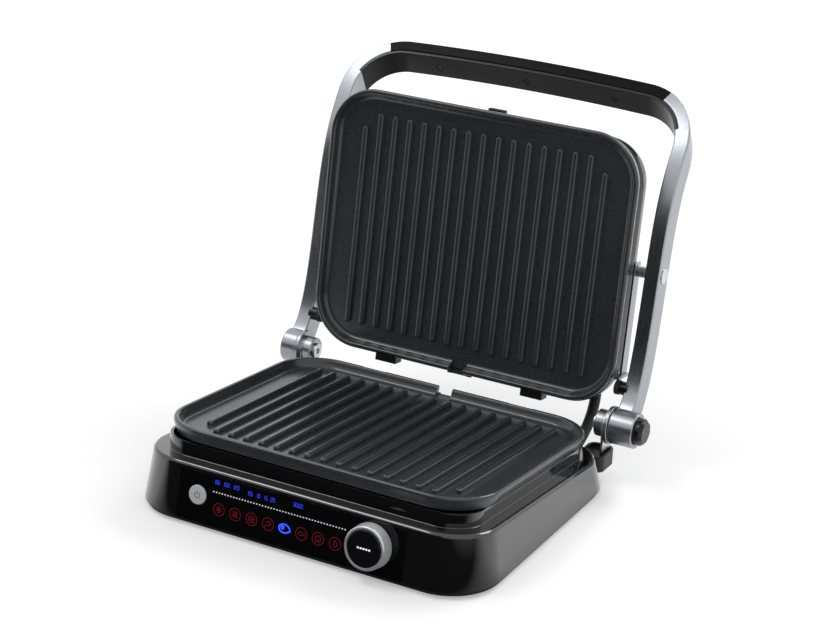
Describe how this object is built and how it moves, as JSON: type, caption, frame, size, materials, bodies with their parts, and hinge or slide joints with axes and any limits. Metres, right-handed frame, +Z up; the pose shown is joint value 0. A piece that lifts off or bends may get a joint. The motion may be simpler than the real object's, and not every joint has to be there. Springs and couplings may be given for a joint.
{
  "type": "electric indoor grill",
  "caption": "Electric contact grill with ribbed plates, a floating lid on a handle bow, a control panel with a knob, release clips and a drip tray.",
  "frame": {"origin": "on the table under the middle of the base, within 3 mm of the lower shell's underside; the row is in its open pose", "axes": "+X to the right seen from the controls, +Y from the controls towards the hinge, +Z up"},
  "size_m": [0.392, 0.4544, 0.3524],
  "materials": {
    "matte_black": "fine matte",
    "gloss_black": "polished",
    "panel_black": "polished, printed icons",
    "rubber_black": "matte",
    "screw_steel": "zinc plated",
    "screw_dark": "blackened",
    "board_green": "solder resist",
    "bright_steel": "satin",
    "brushed_alu": "brushed",
    "block_ivory": "satin",
    "reflector_tin": "rolled",
    "heater_steel": "heat darkened",
    "plate_coating": "non-stick coating on cast aluminium",
    "knob_silver": "spun",
    "cap_black": "satin",
    "grip_black": "fine texture",
    "grip_grey": "satin",
    "housing_dark": "satin",
    "sleeve_black": "matte"
  },
  "bodies": {
    "base": {"lower_shell": "matte_black", "upper_shell": "gloss_black", "rubber_feet": "rubber_black", "base_screws": "screw_steel", "control_fascia": "panel_black", "control_board": "board_green", "encoder": "bright_steel", "power_switch": "matte_black", "main_board": "board_green", "terminal_block": "block_ivory", "cord_gland": "rubber_black", "lower_reflector": "reflector_tin", "lower_heater": "heater_steel", "lower_thermostat": "bright_steel", "lower_plate": "plate_coating", "hinge_sockets": "matte_black", "hinge_posts": "bright_steel", "hinge_flanges": "brushed_alu", "hinge_pins": "bright_steel", "cable_sleeve": "sleeve_black", "sleeve_grommet": "rubber_black"},
    "arms": {"arm_left": "brushed_alu", "arm_right": "brushed_alu", "handle_grip": "grip_black", "handle_cover": "grip_grey", "handle_screws": "screw_dark", "pivot_plugs": "bright_steel", "stop_bosses": "brushed_alu", "stop_bumpers": "rubber_black"},
    "lid": {"lid_housing": "housing_dark", "lid_cover": "gloss_black", "lid_straps": "bright_steel", "pivot_pins": "bright_steel", "upper_reflector": "reflector_tin", "upper_heater": "heater_steel", "upper_thermostat": "bright_steel", "upper_plate": "plate_coating", "lid_screws": "screw_steel", "lid_latch": "matte_black"},
    "knob": {"knob_ring": "knob_silver"},
    "select_cap": {"knob_cap": "cap_black"},
    "power_key": {"power_button": "knob_silver"},
    "hinge_release": {"release_button": "matte_black"},
    "lower_release_left": {"lower_clip_left": "matte_black"},
    "lower_release_right": {"lower_clip_right": "matte_black"},
    "upper_release_left": {"upper_clip_left": "matte_black"},
    "upper_release_right": {"upper_clip_right": "matte_black"},
    "tray": {"drip_tray": "matte_black"}
  },
  "joints": [
    {"name": "arm_hinge", "type": "hinge", "parent": "base", "child": "arms", "pos_m": [0, 0.148, 0.0555], "axis": [1, 0, 0], "range_deg": [-71, 92.85], "deforming": ["cable_sleeve"]},
    {"name": "lid_float", "type": "hinge", "parent": "arms", "child": "lid", "pos_m": [0, 0.20555, 0.19009], "axis": [1, 0, 0], "range_deg": [-8, 0]},
    {"name": "knob_turn", "type": "hinge", "parent": "base", "child": "knob", "pos_m": [0.0775, -0.14977, 0.03281], "axis": [0, -0.9854, 0.1702], "continuous": true},
    {"name": "select_press", "type": "slide", "parent": "knob", "child": "select_cap", "axis": [0, 0.9854, -0.1702], "range_m": [0, 0.001], "stiffness_N_per_m": 900},
    {"name": "power_press", "type": "slide", "parent": "base", "child": "power_key", "axis": [0, 0.9854, -0.1702], "range_m": [0, 0.001], "stiffness_N_per_m": 700},
    {"name": "hinge_release_press", "type": "slide", "parent": "arms", "child": "hinge_release", "axis": [-1, 0, 0], "range_m": [0, 0.004], "stiffness_N_per_m": 600},
    {"name": "lower_left_clip_slide", "type": "slide", "parent": "base", "child": "lower_release_left", "axis": [0, 0.9958, -0.0915], "range_m": [0, 0.003], "stiffness_N_per_m": 900},
    {"name": "lower_right_clip_slide", "type": "slide", "parent": "base", "child": "lower_release_right", "axis": [0, 0.9958, -0.0915], "range_m": [0, 0.003], "stiffness_N_per_m": 900},
    {"name": "upper_left_clip_slide", "type": "slide", "parent": "lid", "child": "upper_release_left", "axis": [0, -0.1409, -0.99], "range_m": [0, 0.003], "stiffness_N_per_m": 900},
    {"name": "upper_right_clip_slide", "type": "slide", "parent": "lid", "child": "upper_release_right", "axis": [0, -0.1409, -0.99], "range_m": [0, 0.003], "stiffness_N_per_m": 900},
    {"name": "tray_slide", "type": "slide", "parent": "base", "child": "tray", "axis": [0, 1, 0], "range_m": [0, 0.06]}
  ]
}
